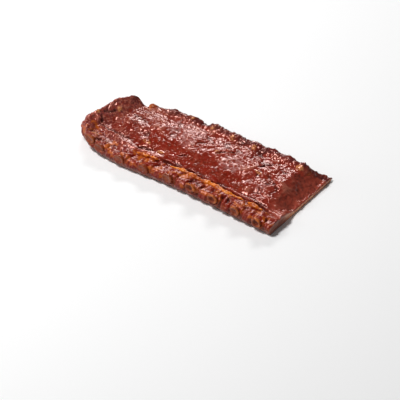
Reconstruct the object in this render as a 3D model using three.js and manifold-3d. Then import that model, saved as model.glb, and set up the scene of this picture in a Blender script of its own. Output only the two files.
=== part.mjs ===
import * as THREE from "three";
import { mergeVertices } from "three/addons/utils/BufferGeometryUtils.js";
import Module from "manifold-3d";

// A rack of nine barbecued pork spareribs, lying meat side up, in millimetres.
// +X runs along the rack to its carved end, +Y from the front edge to the back edge and +Z up.
// The rack stands on z = 0, with its box centred on the origin.
// The shape is worked out in rack coordinates, in which the carved front corner is at x = 0, y = 0.
// A share is a part of the length, from 0 at the left end to 1 at the carved end,
// or a part of the width, from 0 at the front edge to 1 at the back edge.
const CENTRE = { x: -172.1, y: 68.9 }; // middle of the rack's box, in rack coordinates

// Plan of the rack
const RACK_LENGTH = 338; // along the front edge
const RACK_WIDTH = 129; // front to back beside the carved end
const BACK_LENGTH = 294; // along the back edge, shorter because the ribs fan out
const CUT_SLANT = 18; // how far the carved end leans back over the width
const TAPER = { narrowing: 27, curve: 1.8 }; // how much narrower the left end is
const FRONT_BOW = { reach: 9, x: -255, spread: 60 }; // the front edge bows out
const LEFT_BOW = { reach: 8, share: 0.3 }; // the left end bows out
const LEFT_SHOULDER = { reach: 4.5, share: 0.18, width: 0.13 }; // and further near its front
const LEFT_CORNERS = { share: 0.16, front: 13.5, back: 11 }; // the rounded corners of the left end
const CORNER_CUT = { reach: 4, length: 0.2, width: 0.25 }; // the front left corner is cut back as well
const NOTCH = { share: 0.06, spread: 0.018, inset: 2, depth: 2.5 }; // in the back edge, beside the left end
const NOTCH_START = { from: 0.84, to: 0.94 }; // shares of the width
const FLAP = { start: 0.915, reach: 20, height: 6 }; // behind its front corner the carved end is a thin flap
const FLAP_ALONG = { from: 0.9, to: 1 }; // shares of the length
const FLAP_ACROSS = { from: 0.12, to: 0.42 }; // shares of the width

// Heights above the table
const BAND_HEIGHT = 17; // the bony band along the front edge
const LIP_HEIGHT = 19.8; // the edge of the top meat, behind the crease
const MEAT_HEIGHT = 27; // the thick meat
const HOLLOW_HEIGHT = 24.5; // in front of the back rim
const RIM_HEIGHT = 28.5; // the back rim
const EDGE_HEIGHTS = { front: 11.5, back: 13, left: 14 }; // where the round edges meet the side walls
const BACK_EDGE_DROP = 3; // the back edge is at least this much lower than the top beside it
const LUMP_HEIGHTS = { coarse: 0.8, fine: 0.45 };

// Slopes of the top, from where they start to where they end
const LIP_SLOPE = { from: 22.5, to: 27 }; // distances from the front edge
const MEAT_SLOPE = { from: 0.2, to: 0.62, roundness: 0.4 }; // shares of the width
const HOLLOW_SLOPE = { from: 0.7, to: 0.84 }; // shares of the width
const RIM_SLOPE = { from: 18, to: 8 }; // distances from the back edge
const RIM_START = { from: 0.12, to: 0.2 }; // shares of the length
const LUMPS_START = { from: 2, to: 12 }; // distances from the front edge
const CUT_FALL = { depth: 2.5, from: 0.9, to: 1 }; // the meat shrinks towards the carved end

// Features of the top, placed by their distance from an edge
const CREASE = { inset: 24, depth: 3.4, spread: 2.4 }; // the line between the band and the top meat
const CREASE_START = { from: -212, to: -192 }; // along the rack
const CREASE_END = { from: -8, to: 6 }; // distances from the carved end
const POOL = { inset: 36, depth: 1.2, spread: 8 }; // the trough where the glaze gathers
const FRONT_KNOBS = { height: 4.4, dip: 1.6, spread: 11, from: 20, to: 8 }; // over the rib ends of the band
const BACK_KNOBS = { height: 3, dip: 1, spread: 9.5 }; // over the rib ends of the back rim
const END_RIM = { inset: 8, height: 8, spread: 9, from: -0.28, to: 0.06 };
const END_SHOULDER = { height: 2.5, share: 0.2, width: 0.14 }; // the rim is higher there
const END_NARROWING = { by: 4, from: 0.7, to: 0.9 }; // the rim is narrower towards the back
const END_HOLLOW = { inset: 27, depth: 2.5, spread: 9, from: 0.15, to: 0.4 };
const END_HUMP = { inset: 5, height: 4.5, spread: 9, share: 0.84, width: 0.2 };
const EDGE_RADII = { front: 6, back: 6, left: 7, cut: 2 };
const CUT_EDGE_DROP = 1.2;

// The bone side
const ARCH_HEIGHT = 6.5; // the hollow under the middle of the rack
const ARCH_FRONT = { from: 0.09, to: 0.36 }; // shares of the width
const ARCH_BACK = { from: 0.9, to: 0.64 };
const ARCH_LEFT = { from: 0.03, to: 0.16 }; // shares of the length
const ARCH_CUT = { from: 1, to: 0.86 };
const RIB_RIDGE = { height: 2.4, spread: 8 }; // each rib stands out of the hollow
const FOOT_SINK = 0.5; // presses the feet flat
const FOOT_RADII = { front: 6, back: 7, left: 16 };
const FOOT_LIFTS = { front: 4.5, back: 5, left: 6 };

// Side walls: how far they swell out at half their height
const WALL_BULGE = 1;
const FRONT_WALL = { overRibs: 2.2, betweenRibs: 1.4, spread: 7 };
const BACK_WALL = { overRibs: 1.6, betweenRibs: 0.5, spread: 8 };
const LEFT_WALL_BULGE = 2.5;

// Ribs, measured along the edges from the carved end
const RIB_COUNT = 9;
const RIB_FRONT = { first: 21, pitch: 37, growth: 0.25, lastShift: 26 }; // the last rib turns
const RIB_BACK = { first: 40.5, pitch: 30.5, crowding: 9 }; // the middle ribs lie nearer the carved end
const BONE = { halfWidth: 5.2, halfDepth: 3.7, z: 9, lift: { from: 0.72, to: 0.95 }, tip: 0.6 };
const SAWN_END = { wider: 2.8, deeper: 3.2, dish: 1.4, spread: 0.07 };
// For each rib from the carved end: how high its sawn end lies, and how far it stands out of the front edge
const SAWN_HEIGHTS = [13.4, 14.6, 16.4, 17.2, 14.4, 12.4, 12, 12.6, 16.4];
const SAWN_REACHES = [3.8, 3.2, 3.8, 3.8, 2.6, 1.8, 2, 1.8, 3];
const KNOB = { wider: 2.1, deeper: 3, reach: 1.8, dome: 1.2, share: 0.955, spread: 0.05 };
const KNOB_HEIGHTS = [16, 20.5, 21, 21, 21, 21, 21, 20.5, 18.5]; // of the middle of each knob
const KNOB_VARIATION = { size: 0.5, wide: 2.7, deep: 4.1 }; // each knob differs a little
const FIT_GAP = 0.35; // between a bone or fat strip and the meat round it

// Fat strips along the crease, with the distances of their two ends from the carved end
const FAT_STRIPS = [
  { name: "fat_strip_1", near: 30, far: 55, halfWidth: 3.5 },
  { name: "fat_strip_2", near: 62, far: 187, halfWidth: 3.5 },
  { name: "fat_strip_3", near: 204, far: 240, halfWidth: 3.2 },
];
const FAT = { inset: 21.5, halfHeight: 2.6, rise: 0.8, ringSpacing: 6, sides: 8 };
const FAT_WANDER = { reach: 0.9, waves: 0.12 }; // from side to side
const FAT_SWELLS = { broad: 0.22, broadWaves: 0.31, small: 0.12, smallWaves: 0.83 }; // of its thickness

// Facets
const MEAT_STEPS = { length: 72, width: 23, height: 4 };
const SCRAP = 0.02; // edges shorter than this go
const STEP_CROWDING = { ends: 0.3, front: 0.07 }; // draws the steps of the meat towards its edges
const BONE_STEPS = { round: 10, along: 9, crowding: 0.62 };

const COLOURS = { meat: 0x70281e, bone: 0xb57a48, fat: 0xc86c20 };

// Helpers for smooth shapes
const clamp = (t) => Math.min(1, Math.max(0, t));
const mix = (from, to, t) => from + (to - from) * t;
const bell = (t, middle, spread) => Math.exp(-(((t - middle) / spread) ** 2));
function rise(from, to, t) {
  const u = clamp((t - from) / (to - from));
  return u * u * (3 - 2 * u);
}
const slope = (range, t) => rise(range.from, range.to, t);
// Goes from 0 at a rounded edge to 1 once the distance from it is the radius.
function roundOver(distance, radius) {
  const u = 1 - clamp(distance / radius);
  return Math.sqrt(1 - u * u);
}
// Moves evenly spaced steps from 0 to 1 closer together at both ends.
const crowd = (t, amount) => t - (amount * Math.sin(2 * Math.PI * t)) / (2 * Math.PI);

// Plan outline, at share a of the length
const leftCorner = (a) => clamp(1 - a / LEFT_CORNERS.share) ** 2;
function frontEdge(a) {
  const x = -RACK_LENGTH * (1 - a);
  return LEFT_CORNERS.front * leftCorner(a) - FRONT_BOW.reach * bell(x, FRONT_BOW.x, FRONT_BOW.spread);
}
function backEdge(a) {
  const narrowing = TAPER.narrowing * (1 - a) ** TAPER.curve + LEFT_CORNERS.back * leftCorner(a);
  return RACK_WIDTH - narrowing - NOTCH.inset * bell(a, NOTCH.share, NOTCH.spread);
}
const flapReach = (a) => FLAP.reach * clamp((a - FLAP.start) / (1 - FLAP.start));

// Where rib i meets the front and back edges. Each rib leans a little, as the pitch is wider in front.
function ribFront(i) {
  const turn = RIB_FRONT.lastShift * (i / (RIB_COUNT - 1)) ** 12;
  return RIB_FRONT.first + RIB_FRONT.pitch * i + RIB_FRONT.growth * i ** 2 - turn;
}
function ribBack(i) {
  const shift = RIB_BACK.crowding * Math.sin((Math.PI * i) / (RIB_COUNT - 1));
  return RIB_BACK.first + RIB_BACK.pitch * i - shift;
}
const ribLine = (i, b) => -mix(ribFront(i), ribBack(i), b);

// How close a point is to a rib: 1 on its line and 0 far from it. start 0.5 gives the lines between the ribs.
function swell(x, b, spread, start = 0) {
  let most = 0;
  for (let i = start; i < RIB_COUNT; i++) most = Math.max(most, bell(x, ribLine(i, b), spread));
  return most;
}

// Uneven lumps of cooked meat, about one millimetre high
function lumps(x, y) {
  const along = x * 0.118 + 1.3 * Math.sin(y * 0.061);
  const across = y * 0.103 + 0.9 * Math.sin(x * 0.047);
  const coarse = Math.sin(along) * Math.sin(across);
  const fine = Math.sin(x * 0.29 + y * 0.17 + 1.1 * Math.sin(y * 0.21)) * Math.sin(y * 0.33 - x * 0.08);
  return LUMP_HEIGHTS.coarse * coarse + LUMP_HEIGHTS.fine * fine;
}

// A point of the plan, at shares a and b, with its distances to the four sides
function planPoint(a, b) {
  const front = frontEdge(a);
  const back = backEdge(a) + flapReach(a);
  const shoulder = LEFT_SHOULDER.reach * bell(b, LEFT_SHOULDER.share, LEFT_SHOULDER.width);
  const bow = (LEFT_BOW.reach * Math.sin(Math.PI * b) + shoulder) * clamp(1 - a / LEFT_BOW.share) ** 2;
  const corner = clamp(1 - b / CORNER_CUT.width) * clamp(1 - a / CORNER_CUT.length);
  const cutCorner = CORNER_CUT.reach * corner ** 2;
  const x = cutCorner - bow - mix(RACK_LENGTH * (1 - a), CUT_SLANT + BACK_LENGTH * (1 - a), b);
  const y = mix(front, back, b);
  const length = mix(RACK_LENGTH, BACK_LENGTH, b);
  return { a, b, x, y, toFront: y - front, toBack: back - y, toLeft: a * length, toCut: (1 - a) * length };
}

// The knobbly front band, the crease behind it and the glaze trough
function frontHeight(p) {
  const knobs = FRONT_KNOBS.height * swell(p.x, p.b, FRONT_KNOBS.spread) - FRONT_KNOBS.dip;
  const lip = (LIP_HEIGHT - BAND_HEIGHT) * slope(LIP_SLOPE, p.toFront);
  const creaseDepth = CREASE.depth * slope(CREASE_START, p.x) * slope(CREASE_END, p.toCut);
  const crease = creaseDepth * bell(p.toFront, CREASE.inset, CREASE.spread);
  const trough = POOL.depth * bell(p.toFront, POOL.inset, POOL.spread);
  return BAND_HEIGHT + knobs * slope(FRONT_KNOBS, p.toFront) + lip - crease - trough;
}

// The thick meat, the hollow behind it and the knobbly back rim
function backHeight(p) {
  const straight = clamp((p.b - MEAT_SLOPE.from) / (MEAT_SLOPE.to - MEAT_SLOPE.from));
  const meat = (MEAT_HEIGHT - LIP_HEIGHT) * mix(straight, slope(MEAT_SLOPE, p.b), MEAT_SLOPE.roundness);
  const hollow = (MEAT_HEIGHT - HOLLOW_HEIGHT) * slope(HOLLOW_SLOPE, p.b);
  const knobs = BACK_KNOBS.height * swell(p.x, p.b, BACK_KNOBS.spread) - BACK_KNOBS.dip;
  const rim = (RIM_HEIGHT - HOLLOW_HEIGHT + knobs) * slope(RIM_SLOPE, p.toBack) * slope(RIM_START, p.a);
  return meat - hollow + rim;
}

// The raised rim of the left end with its hump, and the notch beside it
function leftEndHeight(p) {
  const rimHeight = END_RIM.height + END_SHOULDER.height * bell(p.b, END_SHOULDER.share, END_SHOULDER.width);
  const rimSpread = END_RIM.spread - END_NARROWING.by * slope(END_NARROWING, p.b);
  const rim = rimHeight * bell(p.toLeft, END_RIM.inset, rimSpread) * slope(END_RIM, p.b);
  const hollowDepth = END_HOLLOW.depth * slope(END_HOLLOW, p.b);
  const hollow = hollowDepth * bell(p.toLeft, END_HOLLOW.inset, END_HOLLOW.spread);
  const humpHeight = END_HUMP.height * bell(p.b, END_HUMP.share, END_HUMP.width);
  const hump = humpHeight * bell(p.toLeft, END_HUMP.inset, END_HUMP.spread);
  const notch = NOTCH.depth * bell(p.a, NOTCH.share, NOTCH.spread) * slope(NOTCH_START, p.b);
  return rim - hollow + hump - notch;
}

function topHeight(p) {
  let z = frontHeight(p) + backHeight(p) + leftEndHeight(p);
  z += lumps(p.x, p.y) * slope(LUMPS_START, p.toFront) - CUT_FALL.depth * slope(CUT_FALL, p.a);
  z = mix(z, FLAP.height, slope(FLAP_ALONG, p.a) * slope(FLAP_ACROSS, p.b));
  z = mix(EDGE_HEIGHTS.front, z, roundOver(p.toFront, EDGE_RADII.front));
  z = mix(Math.min(EDGE_HEIGHTS.back, z - BACK_EDGE_DROP), z, roundOver(p.toBack, EDGE_RADII.back));
  z = mix(EDGE_HEIGHTS.left, z, roundOver(p.toLeft, EDGE_RADII.left));
  return z - CUT_EDGE_DROP * (1 - roundOver(p.toCut, EDGE_RADII.cut));
}

function undersideHeight(p) {
  const across = slope(ARCH_FRONT, p.b) * slope(ARCH_BACK, p.b);
  const arch = across * slope(ARCH_LEFT, p.a) * slope(ARCH_CUT, p.a);
  let z = (ARCH_HEIGHT - RIB_RIDGE.height * swell(p.x, p.b, RIB_RIDGE.spread)) * arch - FOOT_SINK;
  z += FOOT_LIFTS.front * (1 - roundOver(p.toFront, FOOT_RADII.front));
  z += FOOT_LIFTS.back * (1 - roundOver(p.toBack, FOOT_RADII.back));
  z += FOOT_LIFTS.left * (1 - roundOver(p.toLeft, FOOT_RADII.left));
  return Math.max(0, z);
}

// How far a wall with rib ends in it swells out at half its height
function wallSwell(wall, x, b) {
  const overRibs = wall.overRibs * swell(x, b, wall.spread);
  const betweenRibs = wall.betweenRibs * swell(x, b, wall.spread, 0.5);
  return WALL_BULGE + overRibs + betweenRibs;
}

// Turns a unit box into the meat.
function shapeMeat(corner) {
  const [evenA, evenB, evenC] = [corner.x + 0.5, corner.y + 0.5, corner.z + 0.5];
  const a = crowd(evenA, STEP_CROWDING.ends);
  const b = crowd(evenB, STEP_CROWDING.ends) - STEP_CROWDING.front * Math.sin(Math.PI * evenB);
  const p = planPoint(a, b);
  const bulge = Math.sin(Math.PI * evenC);
  let { x, y } = p;
  if (evenB === 0) y -= bulge * wallSwell(FRONT_WALL, x, 0);
  if (evenB === 1) y += bulge * wallSwell(BACK_WALL, x, 1) * rise(1, FLAP.start, a);
  if (evenA === 0) x -= bulge * LEFT_WALL_BULGE;
  return corner.set(x, y, mix(undersideHeight(p), topHeight(p), evenC));
}

// Turns a unit cylinder into rib bone i, with a sawn end in front and a rounded knob behind.
// grow widens it, to cut the channel that the bone lies in.
function shapeBone(corner, i, grow) {
  const even = corner.y + 0.5;
  const q = crowd(even, BONE_STEPS.crowding);
  const frontY = frontEdge(1 - ribFront(i) / RACK_LENGTH) - SAWN_REACHES[i];
  const backY = backEdge(1 - (ribBack(i) - CUT_SLANT) / BACK_LENGTH) + KNOB.reach;
  const sawn = bell(q, 0, SAWN_END.spread);
  const knob = bell(q, KNOB.share, KNOB.spread);
  const shrink = mix(BONE.tip, 1, roundOver(1 - q, KNOB.spread));
  const knobWider = KNOB.wider + KNOB_VARIATION.size * Math.sin(i * KNOB_VARIATION.wide);
  const knobDeeper = KNOB.deeper + KNOB_VARIATION.size * Math.sin(i * KNOB_VARIATION.deep);
  const halfWidth = (BONE.halfWidth + SAWN_END.wider * sawn + knobWider * knob) * shrink + grow;
  const halfDepth = (BONE.halfDepth + SAWN_END.deeper * sawn + knobDeeper * knob) * shrink + grow;
  const lifted = (KNOB_HEIGHTS[i] - BONE.z) * slope(BONE.lift, q);
  const middleZ = BONE.z + (SAWN_HEIGHTS[i] - BONE.z) * sawn + lifted;
  const isCapCentre = Math.hypot(corner.x, corner.z) < 0.01;
  let y = mix(frontY, backY, q);
  if (even < 0.01) y += isCapCentre && grow === 0 ? SAWN_END.dish : -grow;
  if (even > 0.99) y += (isCapCentre ? KNOB.dome : 0) + grow;
  return corner.set(ribLine(i, q) + corner.x * halfWidth, y, middleZ + corner.z * halfDepth);
}

// Turns a unit sphere, with its poles along X, into a strip of fat that follows the crease.
function shapeFat(corner, strip, grow) {
  const along = mix(strip.far + grow, strip.near - grow, (corner.x + 1) / 2);
  const a = 1 - along / RACK_LENGTH;
  const broad = FAT_SWELLS.broad * Math.sin(along * FAT_SWELLS.broadWaves);
  const thickness = 1 + broad + FAT_SWELLS.small * Math.sin(along * FAT_SWELLS.smallWaves);
  const y = frontEdge(a) + FAT.inset + FAT_WANDER.reach * Math.sin(along * FAT_WANDER.waves);
  const z = topHeight(planPoint(a, FAT.inset / (backEdge(a) - frontEdge(a)))) + FAT.rise;
  const halfWidth = strip.halfWidth * thickness + grow;
  const halfHeight = FAT.halfHeight * thickness + grow;
  return corner.set(-along, y + corner.y * halfWidth, z + corner.z * halfHeight);
}

// Moves every point of a closed three.js shape, with its shared vertices merged.
function moulded(geometry, shape) {
  geometry.deleteAttribute("normal");
  geometry.deleteAttribute("uv");
  const closed = mergeVertices(geometry, 1e-5);
  const position = closed.getAttribute("position");
  const corner = new THREE.Vector3();
  for (let k = 0; k < position.count; k++) {
    shape(corner.fromBufferAttribute(position, k));
    position.setXYZ(k, corner.x - CENTRE.x, corner.y - CENTRE.y, corner.z);
  }
  return closed;
}

const wasm = await Module();
wasm.setup();

function solidOf(geometry) {
  return new wasm.Manifold(
    new wasm.Mesh({
      numProp: 3,
      vertProperties: geometry.getAttribute("position").array,
      triVerts: new Uint32Array(geometry.index.array),
    }),
  );
}

function geometryOf(solid) {
  const mesh = solid.getMesh();
  return new THREE.BufferGeometry()
    .setAttribute("position", new THREE.BufferAttribute(mesh.vertProperties, 3))
    .setIndex(new THREE.BufferAttribute(mesh.triVerts, 1));
}

function boneGeometry(i, grow = 0) {
  const cylinder = new THREE.CylinderGeometry(1, 1, 1, BONE_STEPS.round, BONE_STEPS.along);
  return moulded(cylinder, (corner) => shapeBone(corner, i, grow));
}

function fatGeometry(strip, grow = 0) {
  const rings = Math.max(FAT.sides, Math.round((strip.far - strip.near) / FAT.ringSpacing));
  const ball = new THREE.SphereGeometry(1, FAT.sides, rings).rotateZ(Math.PI / 2);
  return moulded(ball, (corner) => shapeFat(corner, strip, grow));
}

// The meat, with a channel for each bone and a groove for each fat strip.
// Thin scraps in front of a channel go.
function meatGeometry() {
  const box = new THREE.BoxGeometry(1, 1, 1, MEAT_STEPS.length, MEAT_STEPS.width, MEAT_STEPS.height);
  let meat = solidOf(moulded(box, shapeMeat));
  for (let i = 0; i < RIB_COUNT; i++) meat = meat.subtract(solidOf(boneGeometry(i, FIT_GAP)));
  for (const strip of FAT_STRIPS) meat = meat.subtract(solidOf(fatGeometry(strip, FIT_GAP)));
  const pieces = meat.decompose().sort((one, other) => other.volume() - one.volume());
  return geometryOf(pieces[0].simplify(SCRAP));
}

function piece(name, geometry, colour, roughness) {
  const material = new THREE.MeshStandardMaterial({ color: colour, roughness, metalness: 0 });
  const mesh = new THREE.Mesh(geometry, material);
  mesh.name = name;
  return mesh;
}

const rack = new THREE.Group();
rack.name = "spareribs";
rack.add(piece("rack_meat", meatGeometry(), COLOURS.meat, 0.35));
for (let i = 0; i < RIB_COUNT; i++) {
  rack.add(piece(`rib_bone_${i + 1}`, boneGeometry(i), COLOURS.bone, 0.45));
}
for (const strip of FAT_STRIPS) {
  rack.add(piece(strip.name, fatGeometry(strip), COLOURS.fat, 0.3));
}

export default rack;
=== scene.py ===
import math
from types import SimpleNamespace

import bmesh
import bpy
import numpy as np
from bpy.props import FloatProperty, FloatVectorProperty, PointerProperty
from mathutils import Matrix, Vector, noise


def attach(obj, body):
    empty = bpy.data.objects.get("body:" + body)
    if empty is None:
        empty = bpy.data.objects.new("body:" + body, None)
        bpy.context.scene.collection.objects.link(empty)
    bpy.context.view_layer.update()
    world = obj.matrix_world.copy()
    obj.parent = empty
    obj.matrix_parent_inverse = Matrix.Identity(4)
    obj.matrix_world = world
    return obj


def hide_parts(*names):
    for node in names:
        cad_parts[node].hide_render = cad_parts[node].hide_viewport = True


# A rack of nine barbecued pork spareribs: glazed meat, browned rib bones and strips of fat.
# The shapes are worked out in millimetres in rack coordinates, in which the carved front corner
# of the rack is at x = 0, y = 0, and are then put in the frame of the model, in metres.
# A share is a part of the length, from 0 at the left end to 1 at the carved end,
# or a part of the width, from 0 at the front edge to 1 at the back edge.

bl_info = {
    "name": "Barbecue Spareribs",
    "version": (1, 0, 0),
    "blender": (4, 5, 0),
    "location": "View3D > Sidebar > Spareribs",
    "description": "Builds a rack of barbecued pork spareribs on its fixed frame",
    "category": "Object",
}

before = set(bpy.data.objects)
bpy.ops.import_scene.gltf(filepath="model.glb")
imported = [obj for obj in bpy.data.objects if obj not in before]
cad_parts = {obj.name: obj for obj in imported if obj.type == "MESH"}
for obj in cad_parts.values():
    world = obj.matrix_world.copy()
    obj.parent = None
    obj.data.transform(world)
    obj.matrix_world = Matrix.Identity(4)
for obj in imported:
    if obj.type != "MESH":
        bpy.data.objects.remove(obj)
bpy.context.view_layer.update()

MM = 0.001
CENTRE = np.array((-172.1, 68.9, 0.0))  # middle of the rack's box, in rack coordinates

# Plan of the rack
RACK_LENGTH = 338.0
RACK_WIDTH = 129.0
BACK_LENGTH = 294.0
CUT_SLANT = 18.0  # how far back the carved end lies at the back edge
CORNER_SHARE = 0.16  # the share of the length in which the left end is rounded
CORNER_REACH = 4.0
FRONT_CORNER = 13.5
BACK_CORNER = 11.0
BACK_TAPER = 27.0
FRONT_BULGE = 9.0
FRONT_BULGE_AT = -255.0
FRONT_BULGE_SPREAD = 60.0
END_BOW = 8.0
NOTCH_AT = 0.06  # the share of the length at which the back edge is notched, beside the hump
NOTCH_SPREAD = 0.018
NOTCH_INSET = 2.0
NOTCH_DEPTH = 2.5
FLAP_START = 0.915
FLAP_REACH = 20.0
FLAP_HEIGHT = 6.0

# Heights above the table
BAND_HEIGHT = 17.0
LIP_HEIGHT = 19.8
MEAT_HEIGHT = 27.0
HOLLOW_HEIGHT = 24.5
RIM_HEIGHT = 28.5
ARCH_HEIGHT = 6.5
FRONT_EDGE_HEIGHT = 11.5
BACK_EDGE_HEIGHT = 13.0
LEFT_EDGE_HEIGHT = 14.0

# Swells and dips of the smooth shape
BAND_SWELL = 4.4
RIM_SWELL = 3.0
END_RIM_RISE = 8.0
HUMP_RISE = 4.5
END_DIP = 2.5
TROUGH_INSET = 36.0
TROUGH_DEPTH = 1.2
UNDERSIDE_RIDGE = 2.4

# The crease along the rack, behind the front band
CREASE_INSET = 24.0
CREASE_DEPTH = 3.4
CREASE_START = -212.0
CREASE_FULL = -192.0
LIP_INSET = 28.5

# Ribs
RIB_COUNT = 9
BONE_HALF_WIDTH = 5.2
BONE_HALF_DEPTH = 3.7
BONE_Z = 9.0
SAWN_WIDER = 2.8
SAWN_DEEPER = 3.2
SAWN_DISH = 2.4
SAWN_BEVEL = 0.9
COLLAR_SIZE = 1.2  # of the meat round a sawn end, as a multiple of the bone's own size
COLLAR_RISE = 1.6
KNOB_WIDER = 2.1
KNOB_DEEPER = 3.0
KNOB_UNEVEN = 0.5
KNOB_REACH = 1.8
KNOB_DOME = 1.2
# For each rib from the carved end: the height of its sawn end, how far that stands out of the front edge,
# how clear it is, from 0 for an end under the glaze to 1 for a bare one, and the height of its knob
SAWN_HEIGHTS = (13.4, 14.6, 16.4, 17.2, 14.4, 12.4, 12.0, 12.6, 16.4)
SAWN_REACHES = (3.8, 3.2, 3.8, 3.8, 2.6, 1.8, 2.0, 1.8, 3.0)
SAWN_CLEARNESS = (1.0, 0.7, 1.0, 1.0, 0.25, 0.1, 0.15, 0.1, 0.35)
KNOB_HEIGHTS = (16.0, 20.5, 21.0, 21.0, 21.0, 21.0, 21.0, 20.5, 18.5)

# Fat strips: the distances of their two ends from the carved end, and half their width
FAT_STRIPS = ((30.0, 55.0, 3.5), (62.0, 187.0, 3.5), (204.0, 240.0, 3.2))
FAT_GLAZED = (0.2, 0.08, 0.5)  # how far the glaze covers each strip
FAT_DIP_AT = 138.0  # where the glaze runs over the middle strip
FAT_DIP_SPREAD = 10.0
FAT_INSET = 21.5
FAT_HALF_HEIGHT = 2.6
FAT_RISE = 0.8

# Rough patches of the meat side: x and y of the middle, and half the length and width
ROUGH_PATCHES = (
    (-108.0, 84.0, 66.0, 32.0),
    (-52.0, 54.0, 26.0, 30.0),
    (-20.0, 92.0, 34.0, 34.0),
    (-236.0, 82.0, 44.0, 28.0),
    (-190.0, 80.0, 30.0, 28.0),
    (-256.0, 48.0, 16.0, 9.0),
    (-296.0, 52.0, 12.0, 16.0),
    (-318.0, 42.0, 13.0, 20.0),
    (-286.0, 76.0, 14.0, 12.0),
    (-282.0, 20.0, 16.0, 7.0),
    (-12.0, 52.0, 20.0, 44.0),
    (-16.0, 118.0, 26.0, 34.0),
)

# Patches that are only partly rough, in the same way, and how rough they are
HALF_ROUGH_PATCHES = (
    (-282.0, 32.0, 20.0, 13.0),
    (-300.0, 34.0, 14.0, 9.0),
    (-189.0, 58.0, 9.0, 9.0),
    (-162.0, 52.0, 9.0, 8.0),
    (-129.0, 57.0, 10.0, 9.0),
    (-202.0, 38.0, 9.0, 9.0),
    (-60.0, 38.0, 13.0, 9.0),
    (-226.0, 31.0, 9.0, 6.0),
    (-316.0, 78.0, 14.0, 12.0),
    (-176.0, 36.0, 10.0, 6.0),
    (-147.0, 34.0, 8.0, 5.0),
    (-112.0, 37.0, 12.0, 6.0),
    (-92.0, 56.0, 9.0, 8.0),
)
HALF_ROUGH = 0.45

# Patches where a thin film of fat and a painted sheen lie on the glaze, in the same way
FILM_AND_SHEEN_PATCHES = (
    (-218.0, 82.0, 22.0, 18.0),
    (-196.0, 68.0, 10.0, 12.0),
    (-118.0, 66.0, 18.0, 12.0),
    (-58.0, 50.0, 8.0, 8.0),
)

# Light fatty spots of the meat side, in the same way
LIGHT_SPOTS = (
    (-212.0, 30.0, 5.0, 2.5),
    (-307.0, 7.0, 5.5, 2.0),
    (-80.0, 72.0, 5.0, 2.5),
    (-286.0, 91.0, 5.0, 2.5),
    (-310.0, 60.0, 2.5, 3.0),
    (-328.0, 37.0, 3.0, 3.0),
    (-150.0, 72.0, 4.0, 2.0),
    (-240.0, 34.0, 6.0, 2.0),
    (-222.0, 107.0, 4.0, 3.0),
    (-188.0, 108.0, 3.5, 3.5),
    (-156.0, 109.0, 3.5, 3.5),
    (-120.0, 111.0, 3.5, 3.0),
    (-46.0, 116.0, 5.0, 3.5),
)
SPOT_RISE = 0.8

# Cracks of the meat side: start, end, width and how far they wander
CRACKS = (
    ((-152.0, 70.0), (-128.0, 86.0), 1.3, 1.2),
    ((-318.0, 14.0), (-306.0, 10.0), 2.0, 0.4),
    ((-300.0, 3.0), (-290.0, 4.0), 2.2, 0.4),
    ((-146.0, 2.0), (-141.0, 16.0), 1.6, 0.8),
    ((-76.0, 2.0), (-80.0, 17.0), 1.8, 0.8),
    ((-88.0, 80.0), (-78.0, 98.0), 1.3, 1.0),
    ((-318.0, 28.0), (-262.0, 27.0), 1.2, 0.8),
    ((-322.0, 40.0), (-314.0, 29.0), 1.3, 0.6),
    ((-309.0, 58.0), (-322.0, 42.0), 1.2, 0.8),
    ((-246.0, 22.0), (-222.0, 27.0), 2.0, 0.8),
    ((-190.0, 38.0), (-178.0, 44.0), 1.0, 0.6),
)
CRACK_DEPTH = 2.8

# Steps of the meshes
LENGTH_STEPS = 320
WIDTH_STEPS = 120
HEIGHT_STEPS = 12
BONE_SIDES = 40
BONE_RINGS = 80
CAP_RINGS = 8
FAT_SIDES = 28
FAT_FEWEST_RINGS = 40

# Shine of each material: its specular level, and the weight and roughness of its clear coat
MEAT_SHINE = (0.6, 0.04, 0.08)
BONE_SHINE = (0.4, 0.05, 0.12)
FAT_SHINE = (0.4, 0.05, 0.12)

# Stage, in metres. For each light: where it shines from, its distance, its width and its height
FLOOR_REACH = 4.0
FLOOR_ROUGHNESS = 0.8
LIGHTS = {
    "above": ((-0.4, -0.25, 0.9), 2.5, 0.55, 0.55),
    "behind": ((-0.55, 0.73, 0.5), 2.5, 1.0, 0.3),
    "front": ((-0.7, -0.6, 0.45), 2.0, 1.2, 1.2),
    "side": ((0.85, -0.3, 0.35), 2.0, 1.0, 1.0),
}


# Helpers for smooth shapes
def clamp(t):
    return np.clip(t, 0.0, 1.0)


def mix(low, high, t):
    return low + (high - low) * t


def bell(t, middle, spread):
    return np.exp(-(((t - middle) / spread) ** 2))


def rise(low, high, t):
    """0 at low and 1 at high, smoothly, and flat beyond them. It falls where low is the larger."""
    u = clamp((t - low) / (high - low))
    return u * u * (3 - 2 * u)


def round_over(distance, radius):
    u = 1 - clamp(distance / radius)
    return np.sqrt(1 - u * u)


def eased(t, share):
    """Steps from 0 to 1 that crowd together in the first and last share, as round a rounded edge."""
    tau = 2 * share / (1 + 2 * share)
    middle = share + (t - tau) * (1 - 2 * share) / (1 - 2 * tau)
    start = share * (t / tau) ** 2
    end = 1 - share * ((1 - t) / tau) ** 2
    return np.where(t < tau, start, np.where(t > 1 - tau, end, middle))


# Plan outline
def left_corner(a):
    return clamp(1 - a / CORNER_SHARE) ** 2


def front_edge(a):
    bulge = FRONT_BULGE * bell(-RACK_LENGTH * (1 - a), FRONT_BULGE_AT, FRONT_BULGE_SPREAD)
    return FRONT_CORNER * left_corner(a) - bulge


def back_edge(a):
    narrowing = BACK_TAPER * clamp(1 - a) ** 1.8 + BACK_CORNER * left_corner(a)
    return RACK_WIDTH - narrowing - NOTCH_INSET * bell(a, NOTCH_AT, NOTCH_SPREAD)


def flap_reach(a):
    return FLAP_REACH * clamp((a - FLAP_START) / (1 - FLAP_START))


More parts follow.
